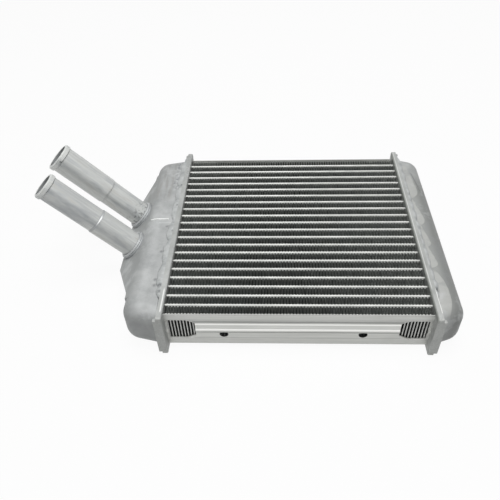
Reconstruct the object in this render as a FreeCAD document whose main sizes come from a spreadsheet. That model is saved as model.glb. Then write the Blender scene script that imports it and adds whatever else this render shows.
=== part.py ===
"""Heater core: brazed tube and fin block, pressed headers, welded end tanks and two hose pipes.

Frame: X along the tubes, Y across the tube rows, Z up. The origin is the centre of the
block in plan, on the plane that the headers' lower rims rest on. Millimetres.
"""
import FreeCAD, Part
import math
import os
import re
import Sketcher
from FreeCAD import Placement, Rotation, Vector

# Driving dimensions: alias, value, meaning
DIMENSIONS = [
    ("tube_count", 20, "flat tubes side by side"),
    ("tube_pitch", 8.67, "from one tube to the next"),
    ("tube_thickness", 1.8, "flat tube, across its flat faces"),
    ("tube_wall", 0.4, "wall of a flat tube"),
    ("tube_reach", 2.0, "tube end beyond the header sheet, inside the tank"),
    ("core_length", 182.2, "between the two headers"),
    ("core_depth", 31.75, "width of a flat tube"),
    ("braze_gap", 0.04, "clearance of brazed pieces"),
    ("fin_folds", 24, "walls of one folded fin strip"),
    ("fin_sheet", 0.16, "sheet of the fin strips"),
    ("fin_recess", 0.6, "fin edge behind the nose of the tubes"),
    ("fin_end_gap", 1.0, "fin strip end to header"),
    ("side_sheet", 0.9, "sheet of the side plates"),
    ("groove_depth", 0.5, "pressed groove that bears on the outer fin strip"),
    ("rib_rise", 1.0, "raised rib of the side plate"),
    ("groove_drop", 8.4, "groove centre below the plate's top edge"),
    ("groove_width", 4.6, "pressed groove"),
    ("rib_drop", 17.2, "rib centre below the plate's top edge"),
    ("rib_width", 4.4, "raised rib"),
    ("crease_drop", 25.2, "lower crease below the plate's top edge"),
    ("window_outer", 1.7, "end window to header"),
    ("window_length", 18.9, "end window along the plate"),
    ("window_straight", 12.4, "end window's part of full height"),
    ("window_height", 19.2, "end window at its outer end"),
    ("window_tip", 12.6, "end window at its inner end"),
    ("hole_radius", 3.0, "round hole of the side plate"),
    ("hole_drop", 20.9, "round hole below the plate's top edge"),
    ("hole_spacing", 96.7, "between the two holes"),
    ("hole_shift", -2.5, "middle of the two holes, along the plate"),
    ("header_sheet", 1.6, "sheet of the pressed headers"),
    ("header_rim", 6.2, "end tabs of the header, from the face on the core side"),
    ("header_lip", 4.0, "header's rim along its long sides, from the face on the core side"),
    ("header_tab_drop", 2.6, "end tab short of the header's long edges"),
    ("header_over_depth", 3.5, "header beyond the core, above and below"),
    ("header_over_side", 6.8, "header beyond the side plate's flat face"),
    ("header_corner", 1.3, "outer corners of the header"),
    ("header_inner_corner", 3.4, "inner corners of the header, round the tank"),
    ("header_shoulder", 1.1, "rounded edge on the core side"),
    ("tank_fit", 0.1, "clearance of a tank in its header"),
    ("tank_sheet", 1.5, "sheet of the tanks"),
    ("tank_depth_left", 31.0, "left tank, from the header's core side face"),
    ("tank_depth_right", 22.7, "right tank, from the header's core side face"),
    ("tank_edge", 12.0, "long rounded edges of the tanks"),
    ("tank_lean_left", 7.0, "end walls of the left tank draw in towards its outer face"),
    ("tank_lean_right", 8.0, "end walls of the right tank draw in towards its outer face"),
    ("pipe_angle", 47.2, "pipes above the horizontal"),
    ("pipe_spacing", 37.2, "between the two pipes"),
    ("pipe_middle", 5.4, "middle of the two pipes, along the tank"),
    ("boss_width", 24.6, "flat pipe seat across the tank"),
    ("boss_base", 68.0, "half length of the pipe boss where it leaves the tank"),
    ("boss_under", 35.5, "slope of the boss's underside"),
    ("boss_round", 10.0, "hollow where the boss leaves the tank, in plan"),
    ("boss_run", 5.0, "boss past its base, along the tank's outer face"),
    ("boss_fade", 9.0, "boss past its base, where it fades into the tank's lower edge"),
    ("boss_lower_edge", 3.5, "rounded lower edge of the boss"),
    ("pipe_root_radius", 10.05, "pipe at its root"),
    ("hose_radius_front", 9.55, "front pipe where the hose sits"),
    ("hose_radius_back", 10.5, "back pipe where the hose sits"),
    ("pipe_wall", 1.05, "wall of a pipe"),
    ("pipe_inside", 4.0, "pipe end inside the tank, behind its seat"),
    ("pipe_root_length", 36.0, "pipe from its seat to the step"),
    ("pipe_step", 1.2, "length of the step"),
    ("pipe_length", 83.0, "pipe from its seat to its end"),
    ("bead_rise", 0.8, "rolled bead at the pipe's end, above the pipe behind it"),
    ("bead_width", 4.2, "rolled bead"),
    ("bead_lead", 0.8, "rounded lead of the bead"),
    ("collar_radius", 12.2, "collar on a pipe's root"),
    ("collar_height", 3.2, "collar along the pipe"),
    ("collar_lead", 0.9, "bevelled edge of the collar"),
    ("baffle_sheet", 1.2, "baffle between the two pipes"),
    ("baffle_stand", 0.5, "baffle tab proud of the tank"),
    ("baffle_tab_inner", 9.6, "tab's inner end from the header's core side face"),
    ("baffle_tab_outer", 24.4, "tab's outer end from the header's core side face"),
    ("weld_foot_left", 5.5, "left weld bead's foot on the tank's face"),
    ("weld_foot_right", 3.4, "right weld bead's foot on the tank's face"),
    ("weld_fullness", 0.66, "weld bead's width at half its height, as a share of its foot"),
    ("weld_stop", 18.0, "weld bead's end short of the front end of the tank"),
    ("weld_start", 5.0, "weld bead's end short of the back end of the tank"),
]
ALIASES = {name for name, value, meaning in DIMENSIONS}
SHEET = "sizes"


def link(text):
    """An expression with every dimension's name pointed at the sheet."""
    return re.sub(r"[a-z_]+", lambda m: SHEET + "." + m.group() if m.group() in ALIASES else m.group(), text)


def number(item, text):
    """The present value of an expression."""
    value = item.evalExpression(link(text))
    return float(getattr(value, "Value", value))


def bind(item, **expressions):
    """Tie properties of a document object to the sheet."""
    for name, text in expressions.items():
        item.setExpression(name.replace("__", "."), link(text))


# Heights and places that several pieces share, as expressions
MIDDLE = "(header_over_depth + core_depth / 2)"
HALF_CORE = "(core_length / 2)"
FIN_HEIGHT = "(tube_pitch - tube_thickness)"
OUTER_FIN = "((tube_count - 1) / 2 * tube_pitch + tube_thickness / 2 + %s)" % FIN_HEIGHT
PLATE_FACE = "(%s + groove_depth + side_sheet)" % OUTER_FIN
HEADER_Y = "(%s + header_over_side)" % PLATE_FACE
HEADER_Z = "(core_depth / 2 + header_over_depth)"
TANK_Y = "(%s - header_sheet - tank_fit)" % HEADER_Y
TANK_Z = "(%s - header_sheet - tank_fit)" % HEADER_Z
TANK_OPEN = "(%s + header_sheet + tank_fit)" % HALF_CORE
LIP_X = "(%s + header_lip)" % HALF_CORE
FAR = "(core_length + core_depth)"
PIPE_PLACES = {
    "front": "pipe_middle - pipe_spacing / 2",
    "back": "pipe_middle + pipe_spacing / 2",
}

# Two points closer than SAME are one point; two faces whose normals agree by SMOOTH meet smoothly
SAME = 1e-3
SMOOTH = 0.985


def make_sheet(doc):
    """The sheet of driving dimensions."""
    sheet = doc.addObject("Spreadsheet::Sheet", SHEET)
    for row, (name, value, meaning) in enumerate(DIMENSIONS, start=1):
        sheet.set("A%d" % row, name)
        sheet.set("B%d" % row, str(value))
        sheet.set("C%d" % row, meaning)
        sheet.setAlias("B%d" % row, name)
    doc.recompute()
    return sheet


def new_body(doc, name):
    """A body whose label is its node's name."""
    body = doc.addObject("PartDesign::Body", name)
    body.Label = name
    return body


def new_sketch(body, role, name):
    """A sketch on one of the body's own origin planes."""
    sketch = body.newObject("Sketcher::SketchObject", name)
    plane = next(item for item in body.Origin.OriginFeatures if item.Role == role)
    sketch.AttachmentSupport = [(plane, "")]
    sketch.MapMode = "FlatFace"
    return sketch


def fix_point(sketch, index, position, x_text, y_text):
    """Hold one point of a sketch at two expressions from the origin."""
    for kind, text in (("DistanceX", x_text), ("DistanceY", y_text)):
        value = number(sketch, text)
        place = sketch.addConstraint(Sketcher.Constraint(kind, -1, 1, index, position, value))
        sketch.setExpression("Constraints[%d]" % place, link(text))


def add_circle(sketch, x_text, y_text, radius_text):
    """A circle held by its centre and radius."""
    centre = Vector(number(sketch, x_text), number(sketch, y_text), 0)
    index = sketch.addGeometry(Part.Circle(centre, Vector(0, 0, 1), number(sketch, radius_text)))
    fix_point(sketch, index, 3, x_text, y_text)
    place = sketch.addConstraint(Sketcher.Constraint("Radius", index, number(sketch, radius_text)))
    sketch.setExpression("Constraints[%d]" % place, link(radius_text))


def add_flat_tube(sketch, x_text, half_height, half_width):
    """A flat tube's outline on end: upright sides, each nose three flats of a regular octagon."""
    blunt = "(%s) * (sqrt(2) - 1)" % half_width
    side = "(%s) - (%s) * (2 - sqrt(2))" % (half_height, half_width)
    quarter = [(blunt, half_height), (half_width, side)]
    right = [(x, "-(%s)" % y) for x, y in quarter] + quarter[::-1]
    left = [("-(%s)" % x, y) for x, y in reversed(right)]
    add_outline(sketch, [("%s + (%s)" % (x_text, x), y) for x, y in right + left])


def add_outline(sketch, corners):
    """A closed outline of straight lines whose corners may be rounded.

    Each corner is (x, y) or (x, y, radius), as expressions, counter-clockwise. The sharp
    corner is kept as a construction point on both of its lines.
    """
    points = [Vector(number(sketch, c[0]), number(sketch, c[1]), 0) for c in corners]
    radii = [number(sketch, c[2]) if len(c) > 2 else 0.0 for c in corners]
    count = len(corners)
    along = [(points[(k + 1) % count] - points[k]).normalize() for k in range(count)]
    turns = [math.atan2((along[k - 1].cross(along[k])).z, along[k - 1].dot(along[k])) for k in range(count)]
    cut = [radii[k] * math.tan(abs(turns[k]) / 2) for k in range(count)]
    lines = []
    for k in range(count):
        start = points[k] + along[k] * cut[k]
        end = points[(k + 1) % count] - along[k] * cut[(k + 1) % count]
        lines.append(sketch.addGeometry(Part.LineSegment(start, end)))
    for k, corner in enumerate(corners):
        before, after = lines[k - 1], lines[k]
        if not radii[k]:
            sketch.addConstraint(Sketcher.Constraint("Coincident", before, 2, after, 1))
            fix_point(sketch, after, 1, corner[0], corner[1])
            continue
        side = math.copysign(1.0, turns[k])
        inward = Vector(-along[k].y, along[k].x, 0) * side
        centre = points[k] + along[k] * cut[k] + inward * radii[k]
        first = (points[k] - along[k - 1] * cut[k]) - centre
        last = (points[k] + along[k] * cut[k]) - centre
        ends = (first, last) if side > 0 else (last, first)
        angles = [math.atan2(v.y, v.x) for v in ends]
        if angles[1] < angles[0]:
            angles[1] += 2 * math.pi
        circle = Part.Circle(centre, Vector(0, 0, 1), radii[k])
        arc = sketch.addGeometry(Part.ArcOfCircle(circle, angles[0], angles[1]))
        near, away = (1, 2) if side > 0 else (2, 1)
        sketch.addConstraint(Sketcher.Constraint("Tangent", before, 2, arc, near))
        sketch.addConstraint(Sketcher.Constraint("Tangent", arc, away, after, 1))
        place = sketch.addConstraint(Sketcher.Constraint("Radius", arc, radii[k]))
        sketch.setExpression("Constraints[%d]" % place, link(corner[2]))
        mark = sketch.addGeometry(Part.Point(points[k]), True)
        fix_point(sketch, mark, 1, corner[0], corner[1])
        sketch.addConstraint(Sketcher.Constraint("PointOnObject", mark, 1, before))
        sketch.addConstraint(Sketcher.Constraint("PointOnObject", mark, 1, after))


def pad(body, sketch, name, length, symmetric=False):
    """Material from a sketch."""
    feature = body.newObject("PartDesign::Pad", name)
    feature.Profile = sketch
    feature.SideType = "Symmetric" if symmetric else "One side"
    bind(feature, Length=length)
    return feature


def pocket(body, sketch, name, length=None, symmetric=False, flip=False):
    """A cut from a sketch, to a depth or right through."""
    feature = body.newObject("PartDesign::Pocket", name)
    feature.Profile = sketch
    feature.SideType = "Symmetric" if symmetric else "One side"
    feature.Reversed = flip
    if length is None:
        feature.Type = "ThroughAll"
    else:
        bind(feature, Length=length)
    return feature


def cut_volume(body, before):
    """Recompute and make sure that the last feature took material away."""
    body.Document.recompute()
    after = body.Shape.Volume
    if not after < before - 1e-6:
        raise RuntimeError("%s: %s cut nothing" % (body.Label, body.Tip.Name))
    return after


def edges_where(shape, test):
    """Names of the edges whose points all pass a test."""
    names = []
    for index, edge in enumerate(shape.Edges, start=1):
        ends = [edge.valueAt(edge.FirstParameter), edge.valueAt(edge.LastParameter)]
        middle = edge.valueAt((edge.FirstParameter + edge.LastParameter) / 2)
        if all(test(point) for point in ends + [middle]):
            names.append("Edge%d" % index)
    return names


def make_tube(doc, index):
    """One flat tube, open at both ends, long enough to stand through both headers."""
    body = new_body(doc, "tube_%02d" % (index + 1))
    outer = new_sketch(body, "YZ_Plane", "%s_outline" % body.Name)
    add_flat_tube(outer, "0", "core_depth / 2", "tube_thickness / 2")
    length = "core_length + 2 * (header_sheet + tube_reach)"
    pad(body, outer, "%s_strip" % body.Name, length, symmetric=True)
    doc.recompute()
    volume = body.Shape.Volume
    inner = new_sketch(body, "YZ_Plane", "%s_channel_outline" % body.Name)
    add_flat_tube(inner, "0", "core_depth / 2 - tube_wall", "tube_thickness / 2 - tube_wall")
    pocket(body, inner, "%s_channel" % body.Name, symmetric=True)
    cut_volume(body, volume)
    bind(body, Placement__Base__y="(%d - (tube_count - 1) / 2) * tube_pitch" % index)
    bind(body, Placement__Base__z=MIDDLE)
    return body


def folded_strip(doc):
    """Shape of one fin strip: a sheet folded to and fro between two tubes."""
    sheet = doc.getObject(SHEET)
    folds = int(sheet.fin_folds)
    span = number(sheet, "core_length - 2 * fin_end_gap")
    height = number(sheet, FIN_HEIGHT + " - 2 * braze_gap")
    depth = number(sheet, "core_depth - 2 * fin_recess")
    run = span / folds
    skin = sheet.fin_sheet / 2 * math.hypot(run, height) / run
    crest = height / 2 - skin
    line = [(k * run - span / 2, crest if k % 2 else -crest) for k in range(folds + 1)]
    upper = [Vector(x, y + skin, -depth / 2) for x, y in line]
    lower = [Vector(x, y - skin, -depth / 2) for x, y in reversed(line)]
    outline = Part.makePolygon(upper + lower + upper[:1])
    return Part.Face(outline).extrude(Vector(0, 0, depth))


def make_fin(doc, index, shape):
    """One fin strip in its row between two tubes, or between a tube and a side plate."""
    sheet = doc.getObject(SHEET)
    name = "fin_%02d" % (index + 1)
    fin = doc.addObject("Part::Feature", name)
    fin.Label = name
    fin.Shape = shape
    place = number(sheet, "(%d - tube_count / 2) * tube_pitch" % index)
    fin.Placement = Placement(Vector(0, place, number(sheet, MIDDLE)), Rotation())
    return fin


def make_header(doc, name, side):
    """Pressed header tray: slotted floor against the core, rim standing out round the tank."""
    body = new_body(doc, name)
    outline = new_sketch(body, "YZ_Plane", "%s_outline" % name)
    round_box(outline, HEADER_Y, HEADER_Z, "header_corner")
    pad(body, outline, "%s_blank" % name, "header_rim")
    doc.recompute()
    volume = body.Shape.Volume
    hollow = new_sketch(body, "YZ_Plane", "%s_hollow_outline" % name)
    bind(hollow, AttachmentOffset__Base__z="header_rim")
    round_box(hollow, HEADER_Y + " - header_sheet", HEADER_Z + " - header_sheet", "header_inner_corner")
    pocket(body, hollow, "%s_hollow" % name, "header_rim - header_sheet")
    volume = cut_volume(body, volume)
    relief = new_sketch(body, "YZ_Plane", "%s_relief_outline" % name)
    bind(relief, AttachmentOffset__Base__z="header_rim")
    beyond = "(%s + header_corner)" % HEADER_Y
    for z_side in (-1, 1):
        z_in = "%d * (%s - header_tab_drop)" % (z_side, HEADER_Z)
        z_out = "%d * (%s + header_corner)" % (z_side, HEADER_Z)
        box = [("-" + beyond, z_in), (beyond, z_in), (beyond, z_out), ("-" + beyond, z_out)]
        add_outline(relief, box if z_side > 0 else box[::-1])
    pocket(body, relief, "%s_relief" % name, "header_rim - header_lip")
    volume = cut_volume(body, volume)
    shoulder = body.newObject("PartDesign::Fillet", "%s_shoulder" % name)
    floor_edges = edges_where(body.Shape, lambda point: abs(point.x) < SAME)
    shoulder.Base = (body.getObject("%s_relief" % name), floor_edges)
    bind(shoulder, Radius="header_shoulder")
    volume = cut_volume(body, volume)
    slot = new_sketch(body, "YZ_Plane", "%s_slot_outline" % name)
    first_row = "-(tube_count - 1) / 2 * tube_pitch"
    add_flat_tube(slot, first_row, "core_depth / 2 + braze_gap", "tube_thickness / 2 + braze_gap")
    first_slot = pocket(body, slot, "%s_slot" % name, "2 * header_sheet", flip=True)
    volume = cut_volume(body, volume)
    row = body.newObject("PartDesign::LinearPattern", "%s_slots" % name)
    row.Originals = [first_slot]
    row.Direction = (slot, ["H_Axis"])
    bind(row, Length="(tube_count - 1) * tube_pitch", Occurrences="tube_count")
    body.Tip = row
    cut_volume(body, volume)
    body.Placement = Placement(Vector(0, 0, 0), Rotation(Vector(0, 0, 1), 0 if side > 0 else 180))
    bind(body, Placement__Base__x="%d * core_length / 2" % side, Placement__Base__z=MIDDLE)
    return body


def round_box(sketch, half_x, half_y, radius):
    """A rectangle with round corners, centred on the origin."""
    signs = ((-1, -1), (1, -1), (1, 1), (-1, 1))
    add_outline(sketch, [("%d * (%s)" % (a, half_x), "%d * (%s)" % (b, half_y), radius) for a, b in signs])


def make_side_plate(doc, name, side):
    """Pressed side plate over the outer fin strip, with two windows and two round holes."""
    body = new_body(doc, name)
    section = new_sketch(body, "YZ_Plane", "%s_section" % name)
    top = "core_depth / 2"
    flat = "groove_depth"
    groove = "0"
    rib = "groove_depth + rib_rise"
    steps = [
        ("0", flat),
        ("groove_drop - groove_width / 2", flat),
        ("groove_drop - groove_width / 6", groove),
        ("groove_drop + groove_width / 2", flat),
        ("rib_drop - rib_width / 2", flat),
        ("rib_drop + rib_width / 6", rib),
        ("rib_drop + rib_width / 2", flat),
        ("crease_drop", flat),
        ("crease_drop + groove_depth / 2", "groove_depth / 2"),
        ("core_depth", "groove_depth / 2"),
    ]
    inner = [(level, "%s - (%s)" % (top, drop)) for drop, level in steps]
    outer = [("%s + side_sheet" % level, height) for level, height in inner]
    add_outline(section, inner + outer[::-1])
    pad(body, section, "%s_sheet" % name, "core_length", symmetric=True)
    doc.recompute()
    volume = body.Shape.Volume
    windows = new_sketch(body, "XZ_Plane", "%s_window_outline" % name)
    start = "(core_length / 2 - window_outer)"
    middle = "(core_depth / 2 - crease_drop + window_height / 2)"
    full = "window_height / 2"
    tip = "window_tip / 2"
    for end in (-1, 1):
        outer_x = "%d * %s" % (end, start)
        bend_x = "%d * (%s - window_straight)" % (end, start)
        inner_x = "%d * (%s - window_length)" % (end, start)
        reach = [(inner_x, tip), (bend_x, full), (outer_x, full)]
        upper = [(x, "%s + %s" % (middle, half)) for x, half in reach]
        lower = [(x, "%s - %s" % (middle, half)) for x, half in reach]
        ring = lower + upper[::-1]
        add_outline(windows, ring if end > 0 else ring[::-1])
    pocket(body, windows, "%s_windows" % name, symmetric=True)
    volume = cut_volume(body, volume)
    holes = new_sketch(body, "XZ_Plane", "%s_hole_outline" % name)
    for end in (-1, 1):
        hole_x = "%d * hole_shift + %d * hole_spacing / 2" % (side, end)
        add_circle(holes, hole_x, "core_depth / 2 - hole_drop", "hole_radius")
    pocket(body, holes, "%s_holes" % name, symmetric=True)
    cut_volume(body, volume)
    body.Placement = Placement(Vector(0, 0, 0), Rotation(Vector(0, 0, 1), 0 if side > 0 else 180))
    bind(body, Placement__Base__y="%d * (%s)" % (side, OUTER_FIN), Placement__Base__z=MIDDLE)
    return body


# The left tank's section: flat top, rounded edge, sloping pipe seat, sloping underside
LEFT_OUTER = "(%s + tank_depth_left)" % HALF_CORE
EDGE_X = "(%s - tank_edge)" % LEFT_OUTER
SEAT_X = "(%s + tank_edge * cos(pipe_angle) + boss_width / 2 * sin(pipe_angle))" % EDGE_X
SEAT_Z = "(%s - tank_edge + tank_edge * sin(pipe_angle) - boss_width / 2 * cos(pipe_angle))" % TANK_Z
LOW_TURN = "(45 + (pipe_angle - boss_under) / 2)"
LOW_REACH = "(boss_width / 2 + boss_lower_edge * tan(%s))" % LOW_TURN
LOW_X = "(%s + %s * sin(pipe_angle))" % (SEAT_X, LOW_REACH)
LOW_Z = "(%s - %s * cos(pipe_angle))" % (SEAT_Z, LOW_REACH)
FOOT_X = "(%s - (%s + %s) / tan(boss_under))" % (LOW_X, LOW_Z, TANK_Z)
BAFFLE_Y = "(tube_pitch / 2 + tube_thickness / 2 + tank_fit + baffle_sheet / 2)"
TAB_FLOOR = "(%s - tank_edge / 2)" % TANK_Z


def left_section(open_x, grow):
    """Corners of the left tank's section, X outward, for an outline grown by a distance."""
    edge = "(tank_edge + %s)" % grow
    top = "(%s + %s)" % (TANK_Z, grow)
    spread = "(1 + sin(boss_under - pipe_angle))"
    low_x = "%s + %s * (cos(pipe_angle) + sin(boss_under)) / %s" % (LOW_X, grow, spread)
    low_z = "%s + %s * (sin(pipe_angle) - cos(boss_under)) / %s" % (LOW_Z, grow, spread)
    foot_x = "%s + %s * tan(boss_under / 2)" % (FOOT_X, grow)
    bend_x = "%s + %s * tan(45 - pipe_angle / 2)" % (EDGE_X, edge)
    lower = "boss_lower_edge + %s" % grow
    under = [(open_x, "-" + top), (foot_x, "-" + top, edge), (low_x, low_z, lower)]
    return under + [(bend_x, top, edge), (open_x, top)]


def mirror_x(corners):
    """The same corners on the other side, still counter-clockwise."""
    return [("-(%s)" % corner[0],) + tuple(corner[1:]) for corner in reversed(corners)]


def mirror_z(corners):
    """The same corners upside down, still counter-clockwise."""
    return [(corner[0], "-(%s)" % corner[1]) + tuple(corner[2:]) for corner in reversed(corners)]


def trim_frame():
    """A rectangle well outside the tanks, from which a trimming cut keeps an inner outline."""
    signs = ((-1, -1), (1, -1), (1, 1), (-1, 1))
    return [("%d * %s" % (a, FAR), "%d * %s" % (b, FAR)) for a, b in signs]


def boss_form(doc, name, section, plan):
    """The pipe boss: the tank's section along the header, trimmed to the boss's plan."""
    body = new_body(doc, name)
    across = new_sketch(body, "XZ_Plane", "%s_section" % name)
    add_outline(across, section)
    pad(body, across, "%s_length" % name, "2 * %s" % TANK_Y, symmetric=True)
    doc.recompute()
    volume = body.Shape.Volume
    outline = new_sketch(body, "XY_Plane", "%s_plan" % name)
    add_outline(outline, trim_frame())
    add_outline(outline, plan)
    pocket(body, outline, "%s_trim" % name, symmetric=True)
    cut_volume(body, volume)
    return body


def pan_form(doc, name, side, depth, lean, thinner):
    """A drawn pan: ends that draw in towards its outer face, every edge rounded alike."""
    body = new_body(doc, name)
    outer = "(%s + %s - %s)" % (HALF_CORE, depth, thinner)
    mouth = "(%s - %s)" % (TANK_OPEN, thinner)
    slant = "atan(%s / (%s + %s - %s))" % (lean, HALF_CORE, depth, TANK_OPEN)
    wide = "%s + %s * tan(%s) - %s / cos(%s)" % (TANK_Y, thinner, slant, thinner, slant)
    narrow = "%s - %s - %s * tan(45 deg - %s / 2)" % (TANK_Y, lean, thinner, slant)
    plan = new_sketch(body, "XY_Plane", "%s_plan" % name)
    corners = [(mouth, "-(%s)" % wide), (outer, "-(%s)" % narrow), (outer, narrow), (mouth, wide)]
    add_outline(plan, corners if side > 0 else mirror_x(corners))
    block = pad(body, plan, "%s_block" % name, "2 * (%s - %s)" % (TANK_Z, thinner), symmetric=True)
    doc.recompute()
    volume = body.Shape.Volume
    edges = body.newObject("PartDesign::Fillet", "%s_edges" % name)
    edges.Base = (block, ridges(block.Shape))
    bind(edges, Radius="tank_edge - %s" % thinner)
    cut_volume(body, volume)
    return body


def ridges(shape):
    """Names of the sharp edges of a form, apart from those round its mouth."""
    mouth = min(abs(vertex.X) for vertex in shape.Vertexes)
    names = []
    for index, edge in enumerate(shape.Edges, start=1):
        middle = edge.valueAt((edge.FirstParameter + edge.LastParameter) / 2)
        faces = shape.ancestorsOfType(edge, Part.Face)
        normals = [face.normalAt(*face.Surface.parameter(middle)) for face in faces]
        if abs(middle.x) > mouth + SAME and normals[0].dot(normals[1]) < SMOOTH:
            names.append("Edge%d" % index)
    return names


def hollow_out(body, cavity):
    """Take the cavity out of a tank's outer form and set the tank at its height."""
    body.Document.recompute()
    volume = body.Shape.Volume
    hollow = body.newObject("PartDesign::Boolean", "%s_hollow" % body.Name)
    hollow.Type = "Cut"
    hollow.setObjects([cavity])
    bind(body, Placement__Base__z=MIDDLE)
    return cut_volume(body, volume)


def make_tank_right(doc):
    """Right tank: plain drawn pan."""
    body = pan_form(doc, "tank_right", 1, "tank_depth_right", "tank_lean_right", "0")
    cavity = pan_form(doc, "tank_right_cavity", 1, "tank_depth_right", "tank_lean_right", "tank_sheet")
    hollow_out(body, cavity)
    return body


def left_form(doc, name, thinner):
    """The left tank's form, or its cavity: a drawn pan with the sloping boss for both pipes."""

    def flank(sign):
        """The boss's flank in plan, from inside the pan past the boss's lower edge."""
        run = "(boss_base - (pipe_spacing + boss_width) / 2 + %d * pipe_middle)" % -sign
        angle = "atan((%s - %s) / %s)" % (LOW_X, LEFT_OUTER, run)
        inset = "%s * tan(%s / 2)" % (thinner, angle)
        far_x = "%s + boss_lower_edge - %s" % (LOW_X, thinner)
        far_y = "%d * (boss_base - %s - boss_lower_edge / tan(%s) - %s)" % (sign, run, angle, inset)
        near_y = "%d * (boss_base - %s)" % (sign, inset)
        outer = "%s - %s" % (LEFT_OUTER, thinner)
        fade = (EDGE_X, "%d * (boss_base + boss_fade - %s)" % (sign, thinner))
        wide = (outer, "%d * (boss_base + boss_run - %s)" % (sign, thinner))
        return [fade, wide, (outer, near_y, "boss_round + %s" % thinner), (far_x, far_y)]

    body = pan_form(doc, name, -1, "tank_depth_left", "tank_lean_left", thinner)
    section = mirror_x(left_section("%s - %s" % (TANK_OPEN, thinner), "(0 - %s)" % thinner))
    boss = boss_form(doc, name + "_boss", section, mirror_x(flank(-1) + flank(1)[::-1]))
    joined = body.newObject("PartDesign::Boolean", "%s_with_boss" % name)
    joined.Type = "Fuse"
    joined.setObjects([boss])
    return body


def make_tank_left(doc):
    """Left tank: deeper pan with a sloping boss that carries both pipes, and the baffle's slot."""
    body = left_form(doc, "tank_left", "0")
    volume = hollow_out(body, left_form(doc, "tank_left_cavity", "tank_sheet"))
    seats = new_sketch(body, "XY_Plane", "tank_left_pipe_outline")
    seats.AttachmentOffset = tilt(number(body, "90 - pipe_angle"))
    bind(seats, AttachmentOffset__Base__x="-" + SEAT_X, AttachmentOffset__Base__z=SEAT_Z)
    bind(seats, AttachmentOffset__Rotation__Angle="90 - pipe_angle")
    for place in PIPE_PLACES.values():
        add_circle(seats, "0", place, "pipe_root_radius + braze_gap")
    pocket(body, seats, "tank_left_pipe_holes", "2 * tank_sheet")
    volume = cut_volume(body, volume)
    slot = new_sketch(body, "XY_Plane", "tank_left_slot_outline")
    bind(slot, AttachmentOffset__Base__z="%s + tank_sheet" % TANK_Z)
    near = "-(%s + baffle_tab_inner - braze_gap)" % HALF_CORE
    far = "-(%s + baffle_tab_outer + braze_gap)" % HALF_CORE
    low = "%s - baffle_sheet / 2 - braze_gap" % BAFFLE_Y
    high = "%s + baffle_sheet / 2 + braze_gap" % BAFFLE_Y
    add_outline(slot, [(far, low), (near, low), (near, high), (far, high)])
    pocket(body, slot, "tank_left_slot", "tank_edge / 2 + tank_sheet")
    cut_volume(body, volume)
    return body


def tilt(angle):
    """A turn from upright towards the left tank's side."""
    return Placement(Vector(0, 0, 0), Rotation(Vector(0, -1, 0), angle))


def revolve(doc, name, profile, place):
    """A round piece on a pipe's axis: its profile, radius by height above the seat, turned full circle."""
    body = new_body(doc, name)
    sketch = new_sketch(body, "XZ_Plane", "%s_profile" % name)
    add_outline(sketch, profile)
    turn = body.newObject("PartDesign::Revolution", "%s_turned" % name)
    turn.Profile = sketch
    turn.ReferenceAxis = (sketch, ["V_Axis"])
    turn.Angle = 360
    body.Placement = tilt(number(body, "90 - pipe_angle"))
    bind(body, Placement__Base__x="-" + SEAT_X, Placement__Base__y=place)
    bind(body, Placement__Base__z="%s + %s" % (MIDDLE, SEAT_Z), Placement__Rotation__Angle="90 - pipe_angle")
    return body


def make_pipe(doc, name, place, hose):
    """One hose pipe: plain root, hose end drawn to its own size and a rolled bead at the mouth."""
    root = "pipe_root_radius"
    bead = "(%s + bead_rise)" % hose
    profile = [
        (root + " - pipe_wall", "-pipe_inside"),
        (root, "-pipe_inside"),
        (root, "pipe_root_length"),
        (hose, "pipe_root_length + pipe_step"),
        (hose, "pipe_length - bead_width"),
        (bead, "pipe_length - bead_width + bead_lead"),
        (bead, "pipe_length - bead_lead"),
        (bead + " - bead_lead", "pipe_length"),
        (hose + " - pipe_wall", "pipe_length"),
        (hose + " - pipe_wall", "pipe_root_length + pipe_step"),
        (root + " - pipe_wall", "pipe_root_length"),
    ]
    return revolve(doc, name, profile, place)


def make_collar(doc, name, place):
    """The bevelled collar that ties a pipe's root to its seat on the tank."""
    bore = "pipe_root_radius + braze_gap"
    profile = [
        (bore, "0"),
        ("collar_radius", "0"),
        ("collar_radius", "collar_height - collar_lead"),
        ("collar_radius - collar_lead", "collar_height"),
        (bore, "collar_height"),
    ]
    return revolve(doc, name, profile, place)


def make_baffle(doc):
    """The plate across the left tank between the pipes, with a tab that stands through the tank's top."""
    body = new_body(doc, "baffle")
    plate = new_sketch(body, "XZ_Plane", "baffle_outline")
    seat = "(%s + header_sheet + braze_gap)" % HALF_CORE
    add_outline(plate, mirror_x(left_section(seat, "(0 - tank_sheet - tank_fit)")))
    pad(body, plate, "baffle_plate", "baffle_sheet", symmetric=True)
    tab = new_sketch(body, "XZ_Plane", "baffle_tab_outline")
    near = "%s + baffle_tab_inner" % HALF_CORE
    far = "%s + baffle_tab_outer" % HALF_CORE
    half = "(%s + %s) / 2" % (EDGE_X, far)
    radius = "(tank_edge + baffle_stand)"
    crown = "%s - tank_edge + sqrt(%s * %s - (%s - %s) * (%s - %s))"
    tops = [(x, crown % (TANK_Z, radius, radius, x, EDGE_X, x, EDGE_X)) for x in (far, half)]
    top = "%s + baffle_stand" % TANK_Z
    add_outline(tab, mirror_x([(near, TAB_FLOOR), (far, TAB_FLOOR)] + tops + [(EDGE_X, top), (near, top)]))
    pad(body, tab, "baffle_tab", "baffle_sheet", symmetric=True)
    bind(body, Placement__Base__y=BAFFLE_Y, Placement__Base__z=MIDDLE)
    return body


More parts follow.
